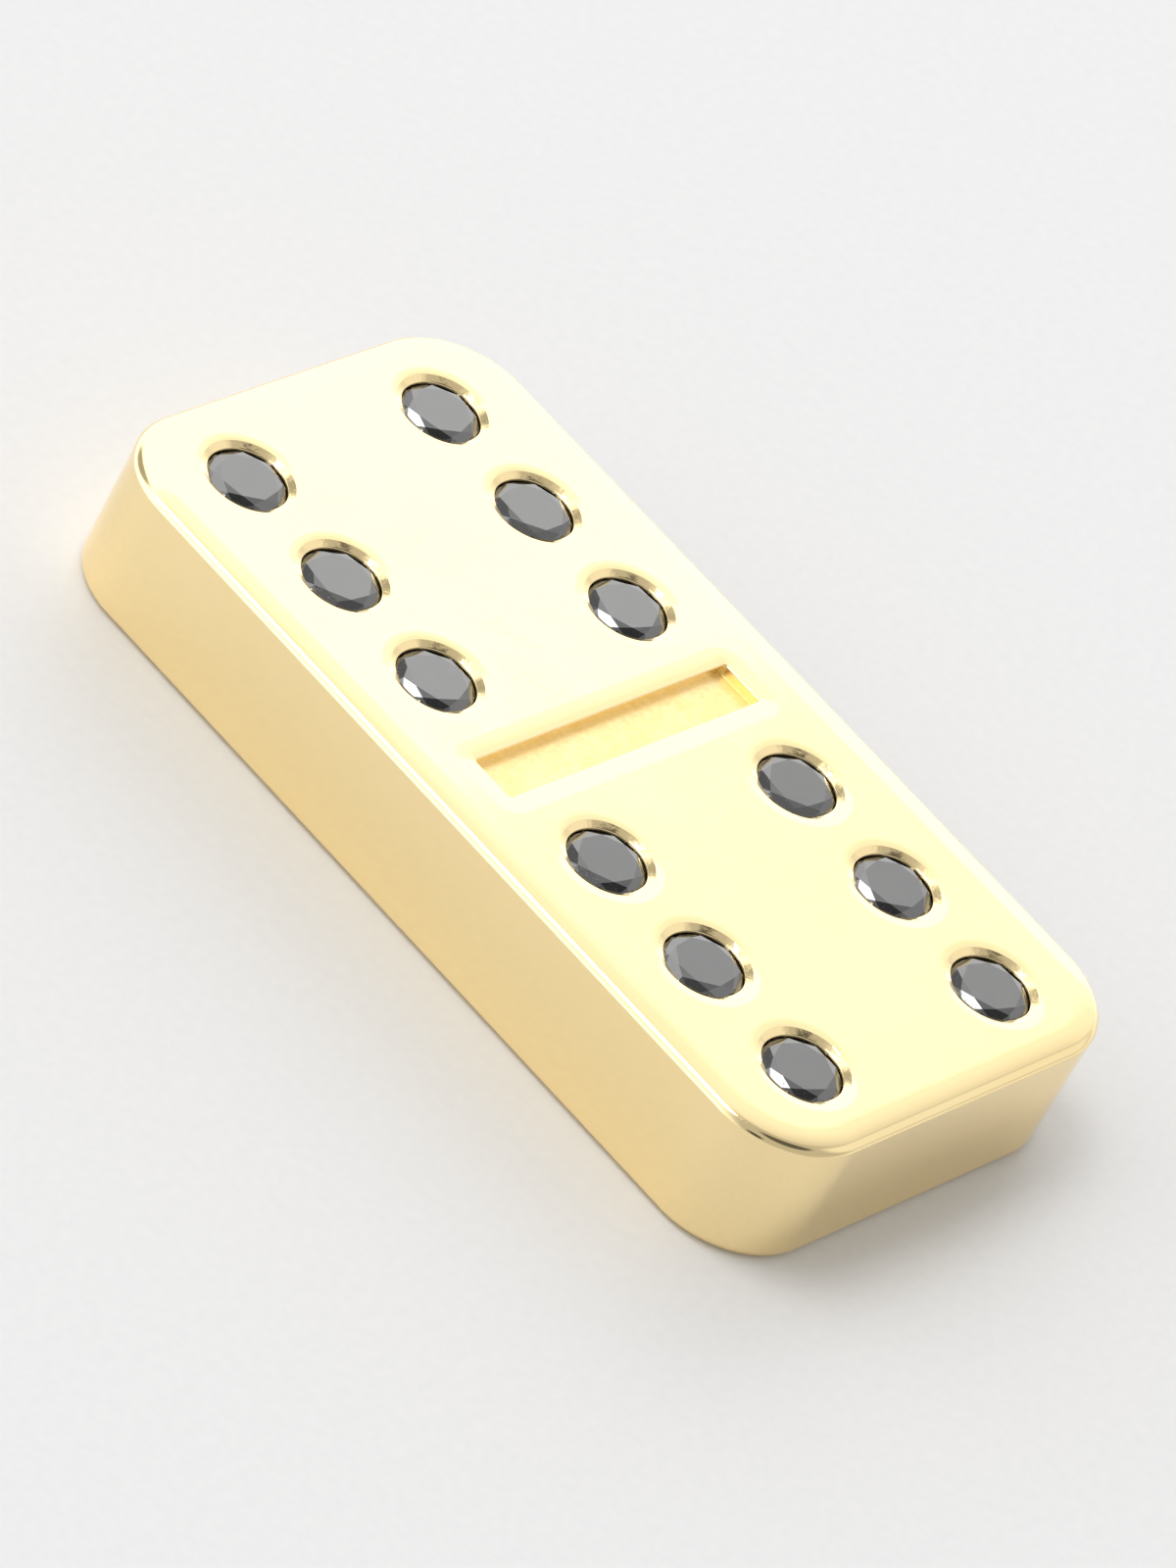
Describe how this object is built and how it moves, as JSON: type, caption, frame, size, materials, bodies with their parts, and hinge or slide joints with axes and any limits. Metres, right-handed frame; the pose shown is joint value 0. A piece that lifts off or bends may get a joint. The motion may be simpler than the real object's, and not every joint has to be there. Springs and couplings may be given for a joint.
{
  "type": "domino tile",
  "caption": "Double-six domino tile: a thick polished gold block with rounded corners, a sunk bar across the middle, and round faceted black stones set flush as pips.",
  "frame": {"origin": "centre of the underside", "axes": "+Z out of the pip face, +Y along the tile's length, +X across it"},
  "size_m": [0.0164, 0.032, 0.0048],
  "materials": {
    "gold": "mirror polished yellow gold",
    "black_stone": "polished facets, opaque black"
  },
  "bodies": {
    "root": {"tile_body": "gold", "stone_a1": "black_stone", "stone_a2": "black_stone", "stone_a3": "black_stone", "stone_a4": "black_stone", "stone_a5": "black_stone", "stone_a6": "black_stone", "stone_b1": "black_stone", "stone_b2": "black_stone", "stone_b3": "black_stone", "stone_b4": "black_stone", "stone_b5": "black_stone", "stone_b6": "black_stone"}
  },
  "joints": []
}
